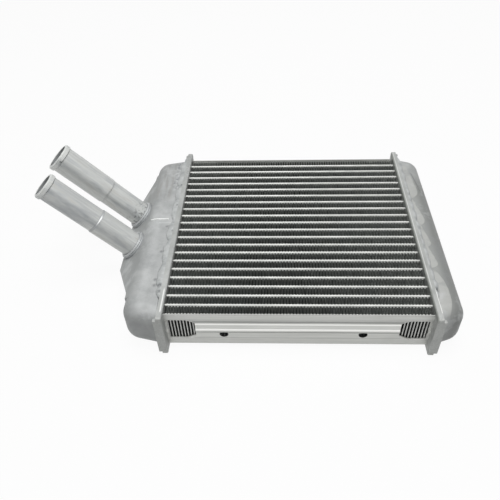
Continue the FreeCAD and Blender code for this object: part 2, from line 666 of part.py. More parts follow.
def make_weld(doc, name, side, level, foot):
    """One weld bead in the corner between a header's rim and its tank."""
    body = new_body(doc, name)
    section = new_sketch(body, "XZ_Plane", "%s_section" % name)
    corners = [
        (LIP_X, TANK_Z),
        ("%s + %s" % (LIP_X, foot), TANK_Z),
        ("%s + %s * weld_fullness" % (LIP_X, foot), "(%s + %s) / 2" % (TANK_Z, HEADER_Z)),
        (LIP_X, HEADER_Z),
    ]
    corners = corners if side > 0 else mirror_x(corners)
    add_outline(section, corners if level > 0 else mirror_z(corners))
    pad(body, section, "%s_run" % name, "2 * %s - weld_stop - weld_start" % TANK_Y, symmetric=True)
    bind(body, Placement__Base__y="(weld_stop - weld_start) / 2", Placement__Base__z=MIDDLE)
    return body


def check_and_write(doc, parts):
    """Stop on anything that failed, then write one file for each sub-part."""
    doc.recompute()
    for item in doc.Objects:
        if "Invalid" in item.State or "Error" in item.State:
            raise RuntimeError("%s did not compute: %s" % (item.Name, item.State))
    os.makedirs("parts", exist_ok=True)
    for part in parts:
        if part.Shape.isNull() or not part.Shape.isValid():
            raise RuntimeError("%s has no valid shape" % part.Label)
        part.Shape.exportStep("parts/%s.step" % part.Label)
        print(part.Label, len(part.Shape.Solids), round(part.Shape.Volume, 1))


def main():
    """Build every sub-part, check it and write its file."""
    doc = FreeCAD.newDocument("heater_core")
    sheet = make_sheet(doc)
    rows = int(sheet.tube_count)
    parts = [make_tube(doc, index) for index in range(rows)]
    strip = folded_strip(doc)
    parts += [make_fin(doc, index, strip) for index in range(rows + 1)]
    for side, side_name in ((-1, "left"), (1, "right")):
        parts.append(make_header(doc, "header_" + side_name, side))
        for level, level_name in ((1, "top"), (-1, "bottom")):
            name = "weld_bead_%s_%s" % (side_name, level_name)
            parts.append(make_weld(doc, name, side, level, "weld_foot_" + side_name))
    parts += [make_side_plate(doc, "side_plate_front", -1), make_side_plate(doc, "side_plate_back", 1)]
    parts += [make_tank_left(doc), make_tank_right(doc), make_baffle(doc)]
    for place_name, place in PIPE_PLACES.items():
        parts.append(make_pipe(doc, "pipe_" + place_name, place, "hose_radius_" + place_name))
        parts.append(make_collar(doc, "collar_" + place_name, place))
    check_and_write(doc, parts)


main()
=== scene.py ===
"""Looks of the heater core: fin strips at their true spacing, rippled welds, finishes and light."""

import math
import random

import bpy
from mathutils import Matrix, Vector, noise


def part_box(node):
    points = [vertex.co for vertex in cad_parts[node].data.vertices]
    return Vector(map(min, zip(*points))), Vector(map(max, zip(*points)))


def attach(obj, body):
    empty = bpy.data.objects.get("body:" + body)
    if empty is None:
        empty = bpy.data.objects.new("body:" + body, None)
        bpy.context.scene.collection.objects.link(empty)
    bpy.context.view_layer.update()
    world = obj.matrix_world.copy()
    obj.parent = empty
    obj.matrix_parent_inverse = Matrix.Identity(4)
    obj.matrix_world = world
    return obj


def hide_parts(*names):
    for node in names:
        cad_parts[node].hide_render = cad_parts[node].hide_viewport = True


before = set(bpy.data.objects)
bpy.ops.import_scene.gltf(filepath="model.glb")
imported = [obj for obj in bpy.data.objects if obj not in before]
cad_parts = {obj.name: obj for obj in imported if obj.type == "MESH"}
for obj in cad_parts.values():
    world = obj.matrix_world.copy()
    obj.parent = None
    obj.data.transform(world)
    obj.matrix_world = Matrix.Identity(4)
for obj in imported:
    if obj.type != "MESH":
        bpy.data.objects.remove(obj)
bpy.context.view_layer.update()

MM = 0.001


def box(node):
    """Lowest and highest corner of a CAD node, in millimetres."""
    return [Vector(corner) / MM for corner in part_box(node)]


# Places on the part in millimetres, taken from the frame
HEADER_TOP = box("header_left")[1].z
MIDDLE = HEADER_TOP / 2
TANK_TOP = box("tank_left")[1].z
PLATE_TOP = box("side_plate_front")[1].z
LIP_X = box("weld_bead_right_top")[0].x
PIPE_Y = {place: sum(corner.y for corner in box("collar_" + place)) / 2 for place in ("front", "back")}
BETWEEN_PIPES = (PIPE_Y["front"] + PIPE_Y["back"]) / 2

# Lean of the pipes, middle of the boss's flat seat, and the side plates' round holes, as in the source
PIPE_ANGLE = math.radians(47.2)
SEAT_X = -127.28
SEAT_Z = 25.5
HOLES = (-50.85, 45.85)
HOLE_Z = 14.35
HOLE_RADIUS = 3.02

# Where the welds leave the headers' lips free, and marks on the metal, placed from the photograph
FREE_LIP_Y = -73.0
NICK = (-146.5, -20.5, 58.5)
BEAD_PIT = (-178.0, 13.9, 87.8)
TANK_PIT = (106.5, -90.6, 31.5)
KNOBS = ((-95.4, 94.2, 38.4), (96.8, 93.7, 38.4))
# Pale scales beside the right header's lip: Y and X where each starts, Y and X of its outermost point
SCALES = (
    (78.0, 101.4, 33.4, 105.1), (31.0, 98.6, -0.7, 103.9),
    (0.0, 98.8, -25.8, 103.2), (-26.0, 99.2, -46.8, 103.6),
)
# Dark craters left where a weld run was stopped and started again: place, radius
CRATERS = (
    ((-101.0, -2.6, 37.4), 0.8), ((-101.0, -31.6, 37.4), 0.8), ((-101.0, -60.7, 37.4), 0.9),
    ((-100.8, -66.2, 37.4), 0.9), ((-97.0, -66.8, 38.4), 0.9), ((-96.0, -73.2, 38.4), 1.0),
    ((-95.6, 49.6, 38.7), 0.7), ((-96.1, 22.1, 38.6), 0.6), ((-95.4, -9.4, 38.7), 0.6),
    ((96.2, -70.9, 38.4), 1.3),
)

# Fin strips: how many, spacing of two folds, sheet, depth of the rim above and below, braze inside a crest
FIN_COUNT = sum(name.startswith("fin_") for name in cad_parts)
FIN_PITCH = 2.2
FIN_SHEET = 0.1
FIN_RIM = 1.6
FIN_BRAZE = 0.28
# Bent folds of a strip: how many, lean of their upper edge, its reach; then how far edges wander
BENT_FOLDS = 5
FOLD_LEAN = (0.25, 0.7)
FOLD_REACH = 3.6
EDGE_WANDER = 0.12
FIN_SEED = 4100
# A rounded crest: distance from its middle, share of the full height
CREST = ((-0.42, 0.92), (-0.26, 0.99), (0.0, 1.0), (0.26, 0.99), (0.42, 0.92))

# Welds: length of one ring, steps across, length of the taper at either end, depth below the tank
WELD_RING = 0.45
WELD_STEPS = 8
WELD_TAPER = {"front": 7.0, "back": 4.0}
WELD_SINK = -0.15
WELD_SEED = 770

# The camera fitted to the photograph: place, turns in degrees, lens
CAMERA_PLACE = (-15.58, -321.14, 315.79)
CAMERA_TURNS = ((3.576, "Z"), (-43.379, "X"), (2.512, "Y"))
CAMERA_LENS = 38.51
CAMERA_SHIFT = -0.006
# The stage, in metres: the floor's reach and height, and the point that the lamps are turned to
FLOOR_REACH = 6.0
FLOOR_Z = -0.0003
LAMP_AIM = (0, 0, 0.02)


def srgb(*screen):
    """A screen colour, 0 to 255, as the linear colour that a shader takes."""
    linear = [share / 12.92 if share <= 0.04045 else ((share + 0.055) / 1.055) ** 2.4
              for share in (value / 255 for value in screen)]
    return tuple(linear) + (1.0,)


CRATER_GREY = srgb(84, 87, 89)
WHITE = (1.0, 1.0, 1.0, 1.0)
BLACK = (0.0, 0.0, 0.0, 1.0)
PAPER = (0.75, 0.75, 0.75, 1.0)


class Value:
    """A number that changes over a surface, ready for arithmetic."""

    def __init__(self, finish, socket):
        self.finish = finish
        self.socket = socket

    def maths(self, operation, *items, clamp=False):
        settings = {"operation": operation, "use_clamp": clamp}
        return self.finish.node("ShaderNodeMath", settings, dict(enumerate(items)))

    def __add__(self, other):
        return self.maths("ADD", self, other)

    def __radd__(self, other):
        return self.maths("ADD", other, self)

    def __sub__(self, other):
        return self.maths("SUBTRACT", self, other)

    def __rsub__(self, other):
        return self.maths("SUBTRACT", other, self)

    def __mul__(self, other):
        return self.maths("MULTIPLY", self, other)

    def __rmul__(self, other):
        return self.maths("MULTIPLY", other, self)

    def __truediv__(self, other):
        return self.maths("DIVIDE", self, other)

    def __pow__(self, other):
        return self.maths("POWER", self, other)

    def __abs__(self):
        return self.maths("ABSOLUTE", self)

    def held(self):
        """Kept between 0 and 1."""
        return self.maths("ADD", self, 0.0, clamp=True)

    def step(self, low, high):
        """0 below low, 1 above high, smooth between; the other way round where high is the smaller."""
        sockets = {"Value": self, "From Min": low, "From Max": high}
        if high < low:
            sockets = {"Value": self, "From Min": high, "From Max": low, "To Min": 1.0, "To Max": 0.0}
        return self.finish.node("ShaderNodeMapRange", {"interpolation_type": "SMOOTHSTEP"}, sockets)

    def band(self, low, high, soft):
        """1 between low and high, fading over a soft distance on both sides."""
        return self.step(low - soft, low + soft) * self.step(high + soft, high - soft)


def most(values):
    """The largest of several Values."""
    largest = values[0]
    for value in values[1:]:
        largest = largest.maths("MAXIMUM", largest, value)
    return largest


class Finish:
    """One metal finish, built node by node."""

    def __init__(self, name, home=bpy.data.materials):
        self.material = home.new(name)
        self.material.use_nodes = True
        self.tree = self.material.node_tree
        self.tree.nodes.clear()
        if home == bpy.data.materials:
            place = self.node("ShaderNodeTexCoord", output="Object")
            self.mm = self.node("ShaderNodeVectorMath", {"operation": "SCALE"}, {0: place, "Scale": 1 / MM})
            apart = {0: self.mm}
            self.x, self.y, self.z = (self.node("ShaderNodeSeparateXYZ", None, apart, axis) for axis in "XYZ")

    def node(self, kind, settings=None, sockets=None, output=0):
        """Add a node: its settings first, then its sockets' values or links. Gives one of its outputs."""
        made = self.tree.nodes.new(kind)
        for name, value in (settings or {}).items():
            setattr(made, name, value)
        for key, item in (sockets or {}).items():
            if isinstance(item, Value):
                self.tree.links.new(item.socket, made.inputs[key])
            else:
                made.inputs[key].default_value = item
        return Value(self, made.outputs[output]) if made.outputs else None

    def grain(self, size, detail=3.0, roughness=0.55, stretch=(1.0, 1.0, 1.0), turn=0.0):
        """Cloudy noise, 0 to 1, with patches of a size in millimetres, stretched along the turned axes."""
        scale = tuple(1.0 / (size * longer) for longer in stretch)
        turned = {"Vector": self.mm, "Angle": turn}
        along = self.node("ShaderNodeVectorRotate", {"rotation_type": "Y_AXIS"}, turned)
        spread = self.node("ShaderNodeVectorMath", {"operation": "MULTIPLY"}, {0: along, 1: scale})
        sockets = {"Vector": spread, "Scale": 1.0, "Detail": detail, "Roughness": roughness}
        return self.node("ShaderNodeTexNoise", None, sockets, "Fac")

    def spot(self, place, radius, soft=0.6):
        """1 inside a round spot of the surface, fading at its edge."""
        ends = {0: self.mm, 1: place}
        away = self.node("ShaderNodeVectorMath", {"operation": "DISTANCE"}, ends, "Value")
        return away.step(radius * (1 + soft), radius * (1 - soft))

    def craters(self):
        """1 in the dark craters of the welds, broken up at their edges."""
        marks = [self.spot(place, radius * 1.6, 0.7) for place, radius in CRATERS]
        return most(marks) * self.grain(0.9, 3.0, 0.6).step(0.25, 0.5)

    def by_pipe(self):
        """Distance along a pipe from its seat; up, aside and away from its axis; 1 on the back pipe."""
        run = (SEAT_X - self.x) * math.cos(PIPE_ANGLE) + (self.z - SEAT_Z) * math.sin(PIPE_ANGLE)
        rise = (self.x - SEAT_X) * math.sin(PIPE_ANGLE) + (self.z - SEAT_Z) * math.cos(PIPE_ANGLE)
        back = self.y.step(BETWEEN_PIPES - 0.01, BETWEEN_PIPES + 0.01)
        aside = self.y - (PIPE_Y["front"] + (PIPE_Y["back"] - PIPE_Y["front"]) * back)
        return run, rise, aside, (aside ** 2.0 + rise ** 2.0) ** 0.5, back

    def by_hole(self, radius, soft):
        """1 close to the middle line of a side plate's round holes."""
        away = [((self.x - place) ** 2.0 + (self.z - HOLE_Z) ** 2.0) ** 0.5 for place in HOLES]
        return most([distance.step(radius + soft, radius) for distance in away])

    def mix(self, mask, base, other):
        """A colour that goes from base to other as the mask goes from 0 to 1."""
        return self.node("ShaderNodeMix", {"data_type": "RGBA"}, {0: mask, 6: base, 7: other}, 2)

    def metal(self, colour, roughness, metallic, height, depth):
        """Close the finish with one surface, whose bumps are depth millimetres at their full height."""
        bump = {"Height": height, "Distance": depth * MM, "Strength": 1.0}
        normal = self.node("ShaderNodeBump", None, bump)
        sockets = {"Base Color": colour, "Roughness": roughness, "Metallic": metallic, "Normal": normal}
        surface = self.node("ShaderNodeBsdfPrincipled", None, sockets)
        self.node("ShaderNodeOutputMaterial", None, {"Surface": surface})
        return self.material


def etched(finish, base, dark, light):
    """Matt aluminium after brazing: cloudy, finely pitted, with paler and darker stains."""
    cloud = finish.grain(14.0, 4.0, 0.6)
    fine = finish.grain(1.1, 4.0, 0.65)
    colour = finish.mix(cloud.step(0.42, 0.72), base, light)
    colour = finish.mix(cloud.step(0.48, 0.28) * 0.7, colour, dark)
    return finish.mix(fine.step(0.62, 0.8) * 0.35, colour, dark), cloud, fine


def pale_scales(tank):
    """1 on the pale scales beside the right header's lip, each fanning out towards the front."""
    wobble = (tank.grain(7.0, 2.0) - 0.5) * 2.4
    x, y = tank.x + wobble * 0.5, tank.y + wobble * 0.8
    # The one nearest the front is long and round
    across = (tank.x - 93.0 + wobble * 0.3) / 11.7
    along = (y - FREE_LIP_Y) / 25.0
    scales = [(1 - along ** 2.0 - across ** 2.0).step(-0.04, 0.06) * tank.y.step(-50.0, -54.0)]
    for back_y, back_x, front_y, front_x in SCALES:
        spread = (back_y - y) / (back_y - front_y + 2.0)
        blunt = (1 - ((spread - 0.72) / 0.28).held() ** 2.0).held() ** 0.5
        edge = LIP_X + (back_x - LIP_X + (front_x - back_x + 0.8) * spread) * blunt
        scales.append((edge - x).step(-0.2, 0.6) * (back_y - y).step(0.0, 1.5))
    return most(scales)


def tank_finish():
    """Drawn tanks: soft grey with pale scales where the right weld's heat ran out and a rough, pitted back
    end; painted shade on the end walls, outer slopes and right tank, and painted highlights.
    """
    tank = Finish("tank_finish")
    colour, cloud, fine = etched(tank, srgb(166, 168, 168), srgb(148, 151, 150), srgb(180, 182, 181))
    right = tank.x.step(0.0, 1.0)
    top = tank.z.step(TANK_TOP - 6.0, TANK_TOP - 2.5)

    scales = pale_scales(tank) * right * top
    # Painted shade over the right tank, stronger towards the front and deepest on its outer slope
    right_shade = right * (0.25 + tank.y.step(68.0, 44.0) * 0.75)
    colour = tank.mix(right_shade * 0.75, colour, srgb(143, 145, 142))
    colour = tank.mix(scales * 0.85, colour, srgb(176, 177, 174))

    # Pitted back end of the left tank, with lengthwise streaks
    pits = tank.grain(2.6, 3.0, 0.6)
    pitted = tank.x.band(-103.5, -90.0, 2.0) * tank.y.step(38.0, 56.0)
    colour = tank.mix(pitted * pits.step(0.5, 0.58) * 0.7, colour, srgb(112, 116, 120))
    colour = tank.mix(pitted * pits.step(0.47, 0.38) * 0.6, colour, srgb(210, 212, 214))
    streak = tank.grain(3.4, 2.0, 0.5, (1.0, 9.0, 1.0)).step(0.4, 0.6)
    streaked = tank.x.step(-102.0, -105.0) * tank.y.step(26.0, 40.0)
    colour = tank.mix(streaked * streak * 0.55, colour, srgb(140, 139, 135))

    # Painted shade on the end walls, the boss and the outer slopes, where they turn from the light; the left
    # tank's back corner darker
    ends = abs(tank.y).step(87.5, 93.0)
    corner = tank.x.step(-85.0, -95.0) * tank.y.step(55.0, 75.0)
    boss = tank.x.step(-112.0, -121.0)
    slope = tank.x.step(100.0, 107.0) * (1 - scales) * right_shade
    colour = tank.mix(ends * (0.45 + right * 0.25), colour, srgb(136, 138, 137))
    colour = tank.mix(corner * 0.4, colour, srgb(136, 138, 138))
    colour = tank.mix(boss * 0.55, colour, srgb(138, 141, 140))
    colour = tank.mix(slope * 0.75, colour, srgb(120, 122, 120))

    # Painted shade on the left tank's front ridge and a painted highlight along its outer edge, then broad
    # stains on both tanks
    ridge = tank.y.band(-87.5, -85.0, 2.0) * tank.z.step(30.0, 34.5) * tank.x.step(-93.0, -97.0)
    edge = tank.x.band(-110.5, -105.5, 2.5) * tank.z.step(33.0, 35.5) * tank.y.step(16.0, 4.0)
    colour = tank.mix(ridge * 0.35, colour, srgb(140, 142, 142))
    colour = tank.mix(edge * 0.2, colour, srgb(208, 210, 210))
    stain = tank.grain(20.0, 4.0, 0.65)
    colour = tank.mix(stain.step(0.48, 0.32) * 0.45, colour, srgb(140, 142, 143))
    colour = tank.mix(stain.step(0.52, 0.68) * 0.5, colour, srgb(192, 194, 194))

    # Painted highlight along the foot of the baffle's tab, and the weld's craters
    foot = tank.y.band(BETWEEN_PIPES - 4.0, BETWEEN_PIPES - 3.3, 0.3) * tank.x.band(-108.0, -96.5, 0.5) * top
    colour = tank.mix(foot * 0.6, colour, srgb(208, 210, 209))
    colour = tank.mix(tank.craters() * 0.55, colour, CRATER_GREY)

    # Painted shade in the gap where the free lip of each header stands off the tank, then a pit and a crease
    gap = abs(tank.x).band(LIP_X - 0.2, LIP_X + 0.75, 0.25)
    free = tank.y.step(FREE_LIP_Y, FREE_LIP_Y - 4.0) * gap * top
    colour = tank.mix(free * 0.9, colour, srgb(40, 42, 42))
    crease = (tank.x - 104.6 - (60 - tank.y) * 0.143).band(-0.5, 0.5, 0.35) * tank.y.band(42.0, 67.0, 3.0)
    dents = (tank.spot(TANK_PIT, 1.5) * 0.6 + crease * 0.6).held()
    colour = tank.mix(dents * 0.85, colour, srgb(86, 88, 86))
    drawn = tank.grain(6.0, 2.0, 0.5, (1.0, 9.0, 1.0))
    roughness = 0.44 + cloud * 0.12 + fine * 0.06
    return tank.metal(colour, roughness, 0.12, fine * 0.5 + drawn * 0.25 + scales * 0.5, 0.32)


def baffle_finish():
    """The baffle's tab: painted bright, a painted highlight along its thin top edge."""
    baffle = Finish("baffle_finish")
    fine = baffle.grain(0.8, 3.0)
    colour = baffle.mix(baffle.grain(3.0, 3.0).step(0.3, 0.7), srgb(222, 224, 222), srgb(246, 247, 245))
    colour = baffle.mix(fine.step(0.62, 0.76) * 0.4, colour, srgb(178, 180, 178))
    return baffle.metal(colour, 0.34 + fine * 0.1, 0.4, fine, 0.08)


def header_finish():
    """Pressed headers: paler, granular from flux, with a painted highlight along the shoulders in front of
    the welds.
    """
    header = Finish("header_finish")
    colour, cloud, fine = etched(header, srgb(164, 166, 164), srgb(142, 145, 142), srgb(180, 182, 180))
    # Painted highlight on the shoulders of the free lips
    front = header.y.step(FREE_LIP_Y + 4.0, FREE_LIP_Y) * header.y.step(-93.0, -91.0)
    front = front * header.z.step(HEADER_TOP - 1.4, HEADER_TOP - 0.5)
    shoulder = header.x.step(0.0, -1.0) * header.x.band(-93.1, -92.2, 0.3) + header.x.step(94.5, 94.8)
    colour = header.mix((shoulder * front).held() * 0.8, colour, srgb(236, 237, 234))

    # Right header: painted shade on its inner wall, and a painted highlight along its upper edge
    wall = header.x.band(90.6, 92.0, 0.2) * header.z.step(35.0, 35.6)
    edge = header.x.band(92.2, 92.9, 0.2) * header.z.step(37.6, 38.2)
    edge = edge * header.y.step(FREE_LIP_Y + 1.0, FREE_LIP_Y + 5.0)
    colour = header.mix(wall * 0.6, colour, srgb(110, 114, 108))
    colour = header.mix(edge * 0.6, colour, srgb(214, 216, 212))

    # Pitted back end of the left header, dark knobs at the back corners, rough end tabs
    pits = header.grain(1.7, 3.0, 0.6).step(0.52, 0.64)
    pitted = header.x.step(-88.0, -90.0) * header.y.step(40.0, 60.0)
    colour = header.mix(pitted * pits * 0.4, colour, srgb(126, 129, 131))
    knobs = most([header.spot(place, 1.3) for place in KNOBS])
    colour = header.mix(knobs * 0.6, colour, srgb(92, 95, 95))
    tabs = abs(header.y).step(95.5, 97.5)
    colour = header.mix(tabs * 0.4, colour, srgb(186, 188, 185))
    colour = header.mix(tabs * 0.4 * fine.step(0.4, 0.6), colour, srgb(150, 152, 149))
    height = fine * 0.7 + header.grain(0.6, 2.0, 0.6) * 0.3 * tabs
    return header.metal(colour, 0.46 + cloud * 0.14, 0.25, height, 0.4)


def tube_finish():
    """Flat tubes: a painted highlight on the crown of each nose, painted shade on the flanks, slightly uneven
    where the flux has dried.
    """
    tube = Finish("tube_finish")
    streak = tube.grain(5.0, 3.0, 0.6, (3.0, 1.0, 1.0))
    fine = tube.grain(0.8, 3.0, 0.6)
    # The noses' crowns take the lit colour, the flanks the painted-shade colour
    crown = abs(tube.z - MIDDLE).step(15.45, 15.8)
    bright = tube.mix(streak.step(0.3, 0.7), srgb(204, 206, 202), srgb(228, 229, 225))
    colour = tube.mix(streak.step(0.3, 0.75), srgb(140, 142, 139), srgb(156, 158, 155))
    colour = tube.mix(crown, colour, bright)
    colour = tube.mix(fine.step(0.66, 0.78) * 0.5, colour, srgb(186, 188, 184))
    return tube.metal(colour, 0.36 + streak * 0.12, 0.35, fine, 0.06)


def fin_finish():
    """Fin strips: thin sheet with louvres, painted dark for the shade inside the core, with painted
    highlights on the crests and where the plates' windows show them.
    """
    fin = Finish("fin_finish")
    fold = fin.grain(1.4, 2.0, 0.7, (1.0, 5.0, 40.0))
    patch = fin.grain(16.0, 2.0, 0.5)
    fine = fin.grain(0.5, 2.0)
    off_middle = abs(fin.z - MIDDLE)
    colour = fin.mix(fold.step(0.3, 0.72), srgb(98, 102, 99), srgb(128, 132, 128))
    colour = fin.mix(patch.step(0.5, 0.75) * 0.35, colour, srgb(104, 109, 111))
    # Painted shade, deeper towards the middle of the core
    colour = fin.mix(off_middle.step(15.2, 12.5) * 0.42, colour, srgb(66, 69, 66))
    # Painted highlights on the crests near the top and bottom, and on the outer crests in the windows
    crest = abs(fin.node("ShaderNodeAttribute", {"attribute_name": "crest"}, output="Fac")).step(0.78, 0.86)
    colour = fin.mix(crest * off_middle.step(14.5, 14.9) * 0.9, colour, srgb(226, 228, 224))
    window = abs(fin.y).step(89.75, 90.0) * abs(fin.x).step(68.0, 70.0)
    colour = fin.mix(window, colour, srgb(226, 227, 224))

    # Deep shade behind the side plates' holes and windows
    by_hole = abs(fin.y).step(86.0, 87.0) * fin.by_hole(6.0, 2.0)
    by_window = abs(fin.y).band(85.0, 89.5, 0.15) * abs(fin.x).step(64.0, 67.0)
    by_window = by_window * fin.z.step(PLATE_TOP - 4.0, PLATE_TOP - 6.0)
    colour = fin.mix(most([by_hole, by_window]) * 0.85, colour, srgb(22, 23, 22))
    row = fin.z / 1.3
    louvre = row.maths("FRACT", row).band(0.3, 0.7, 0.12)
    colour = fin.mix(louvre * (1 - window) * 0.35, colour, srgb(52, 54, 52))
    return fin.metal(colour, 0.5 + fine * 0.1, 0.15, louvre * 0.6 + fine * 0.2, 0.25)


def plate_finish():
    """Pressed side plates: satin rolled sheet, with painted highlights where the groove and rib stand to the
    light and painted shade on their flanks that face down.
    """
    plate = Finish("plate_finish")
    rolled = plate.grain(0.7, 3.0, 0.6, (60.0, 1.0, 1.0))
    cloud = plate.grain(18.0, 3.0, 0.6, (2.0, 1.0, 1.0))
    fine = plate.grain(0.7, 3.0)
    waver = (plate.grain(20.0, 2.0, 0.5, (3.0, 1.0, 1.0)) - 0.5) * 0.4
    drop = PLATE_TOP - plate.z + waver
    colour = plate.mix(rolled.step(0.3, 0.7), srgb(204, 205, 201), srgb(218, 219, 215))
    colour = plate.mix(cloud.step(0.5, 0.72) * 0.4, colour, srgb(196, 197, 193))
    colour = plate.mix(drop.step(22.0, 30.0) * 0.35, colour, srgb(190, 191, 187))
    # Painted shade on the groove's upper flank, which faces down
    colour = plate.mix(drop.band(4.5, 8.2, 1.6) * 0.3, colour, srgb(150, 152, 150))
    colour = plate.mix(plate.z.step(PLATE_TOP - 0.4, PLATE_TOP - 0.1) * 0.5, colour, srgb(110, 112, 110))

    # Painted shade and painted highlights along the groove and rib, which end short of the windows
    pressed = abs(plate.x).step(73.0, 71.5)
    shade_lines = drop.band(7.4, 8.8, 0.5) * 0.8 + drop.band(17.2, 18.0, 0.4) + drop.band(24.6, 25.4, 0.4) * 0.5
    bright = (drop.band(9.7, 10.9, 0.5) + drop.band(15.0, 16.3, 0.5)).held() * pressed
    colour = plate.mix(shade_lines.held() * pressed * 0.7, colour, srgb(110, 112, 110))
    colour = plate.mix(drop.band(11.4, 14.4, 0.4) * pressed * 0.4, colour, srgb(238, 239, 235))
    colour = plate.mix(bright * 0.9, colour, srgb(252, 252, 249))
    colour = plate.mix(fine.step(0.7, 0.82) * 0.25, colour, srgb(158, 158, 154))
    # Painted shade round the inside of the round holes
    colour = plate.mix(plate.by_hole(HOLE_RADIUS, 0.12) * 0.9, colour, srgb(42, 43, 41))
    return plate.metal(colour, 0.34 + cloud * 0.12, 0.35 + bright * 0.5, rolled * 0.6 + fine * 0.2, 0.08)


def pipe_finish():
    """Hose pipes: drawn tube with a long dark smudge down each, paler mouths, a bright nick and specks."""
    pipe = Finish("pipe_finish")
    turn = math.pi / 2 - PIPE_ANGLE
    drawn = pipe.grain(1.5, 3.0, 0.6, (1.0, 1.0, 26.0), turn)
    smudge = pipe.grain(7.0, 3.0, 0.6, (1.0, 0.8, 3.6), turn)
    fine = pipe.grain(0.9, 3.0, 0.65)
    run, rise, aside, radial, back = pipe.by_pipe()
    front = 1 - back

    # Smudges, the dark lower side, the front pipe's tarnish and the pale mouths
    waver = (pipe.grain(16.0, 2.0, 0.5, (1.0, 1.0, 2.0), turn) - 0.5) * 5.0
    lower = (rise + waver * 0.7).band(2.2, 5.8, 1.5) * aside.step(0.0, -3.0)
    lower = lower * (0.3 + smudge.step(0.4, 0.62) * 0.7) * (0.35 + run.step(24.0, 44.0) * 0.65)
    tarnish = run.step(36.0, 52.0) * front * aside.step(2.0, -4.0) * smudge.step(0.3, 0.6)
    colour = pipe.mix(drawn.step(0.3, 0.7), srgb(192, 194, 192), srgb(208, 210, 208))
    colour = pipe.mix(smudge.step(0.5, 0.66) * 0.4, colour, srgb(164, 168, 172))
    colour = pipe.mix(smudge.step(0.44, 0.3) * 0.4, colour, srgb(184, 181, 174))
    colour = pipe.mix(lower * 0.6, colour, srgb(132, 137, 140))
    colour = pipe.mix(tarnish * 0.4, colour, srgb(146, 150, 155))
    colour = pipe.mix(fine.step(0.66, 0.8) * 0.3, colour, srgb(150, 150, 148))
    colour = pipe.mix(run.step(79.0, 80.5) * 0.45, colour, srgb(222, 224, 221))

    # The step below the hose end, with a bright nick on the front pipe
    colour = pipe.mix(run.band(35.2, 36.0, 0.3) * 0.12, colour, srgb(150, 154, 156))
    nick = pipe.spot(NICK, 3.6) * run.band(36.4, 37.0, 0.3)
    cone = run.band(35.8, 37.6, 0.3) * front * (1 - nick)
    colour = pipe.mix(cone * 0.55, colour, srgb(138, 141, 144))
    colour = pipe.mix(nick * 0.5, colour, srgb(244, 245, 242))

    # Painted shade inside the tube, darker deeper in, a pit on the back bead and specks near the back collar
    inside = (radial - 0.9 * back).step(9.1, 8.9) * run.step(82.9, 82.5)
    depth = pipe.mix(run.step(74.0, 82.0), srgb(84, 87, 88), srgb(134, 137, 138))
    colour = pipe.mix(inside * 0.9, colour, depth)
    specks = pipe.grain(2.2, 2.0).step(0.56, 0.62) * run.step(15.0, 7.0) * back
    colour = pipe.mix((pipe.spot(BEAD_PIT, 0.8) + specks * 0.7).held() * 0.8, colour, srgb(74, 78, 80))
    return pipe.metal(colour, 0.38 + smudge * 0.14, 0.3, drawn * 0.5 + fine * 0.3, 0.1)


def collar_finish():
    """Turned collars: two bright rings with a darker groove between, and a painted shadow round the pipe's
    root.
    """
    collar = Finish("collar_finish")
    fine = collar.grain(0.9, 3.0, 0.6)
    cloud = collar.grain(5.0, 3.0, 0.6)
    run, _, _, radial, _ = collar.by_pipe()
    colour = collar.mix(cloud.step(0.35, 0.7), srgb(166, 169, 170), srgb(190, 192, 192))
    rings = (run.step(2.2, 2.6) + run.band(0.75, 1.35, 0.15)).held()
    colour = collar.mix(run.step(2.2, 1.6) * 0.6, colour, srgb(146, 149, 151))
    colour = collar.mix(rings * 0.4, colour, srgb(196, 198, 198))
    # Painted shadow round the pipe's root
    colour = collar.mix(radial.step(11.0, 10.6) * run.step(2.6, 2.9) * 0.7, colour, srgb(112, 115, 117))
    colour = collar.mix(radial.step(11.2, 11.6) * run.step(2.3, 2.6) * 0.6, colour, srgb(150, 153, 154))
    colour = collar.mix(fine.step(0.62, 0.78) * 0.3, colour, srgb(160, 163, 165))
    groove = run.band(1.35, 2.1, 0.2)
    return collar.metal(colour, 0.36 + cloud * 0.12, 0.35, fine * 0.3 + (1 - groove) * 0.7, 0.3)


def weld_finish():
    """Weld metal: painted highlights on the ripples' crowns, painted shade in the hollows and along the foot,
    with a few dark craters.
    """
    weld = Finish("weld_finish")
    fine = weld.grain(0.8, 3.0, 0.6)
    cloud = weld.grain(4.0, 3.0, 0.6)
    crown = weld.node("ShaderNodeAttribute", {"attribute_name": "crown"}, output="Fac")
    craters = weld.craters()
    colour = weld.mix(cloud.step(0.35, 0.7), srgb(160, 163, 163), srgb(180, 183, 182))
    # Painted shade where the crown value is low, in the hollows and at the foot; painted highlight on the
    # crowns
    colour = weld.mix(crown.step(0.5, 0.1) * 0.75, colour, srgb(104, 108, 110))
    colour = weld.mix(crown.step(0.8, 1.0) * 0.3, colour, srgb(200, 202, 201))
    colour = weld.mix(craters * 0.65, colour, CRATER_GREY)
    return weld.metal(colour, 0.36 + fine * 0.14, 0.35, fine * 0.4 - craters * 0.6, 0.4)


def piece(name, vertices, faces, finish, nodes, mark, values):
    """A smooth mesh in millimetres that stands for CAD nodes, with one value at each vertex."""
    mesh = bpy.data.meshes.new(name)
    mesh.from_pydata([Vector(vertex) * MM for vertex in vertices], [], faces)
    mesh.validate()
    mesh.polygons.foreach_set("use_smooth", [True] * len(mesh.polygons))
    mesh.materials.append(finish)
    mesh.attributes.new(mark, "FLOAT", "POINT").data.foreach_set("value", values)
    made = bpy.data.objects.new(name, mesh)
    bpy.context.scene.collection.objects.link(made)
    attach(made, "root")
    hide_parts(*nodes)


def clamp(value, low, high):
    """The value, held between low and high."""
    return min(max(value, low), high)


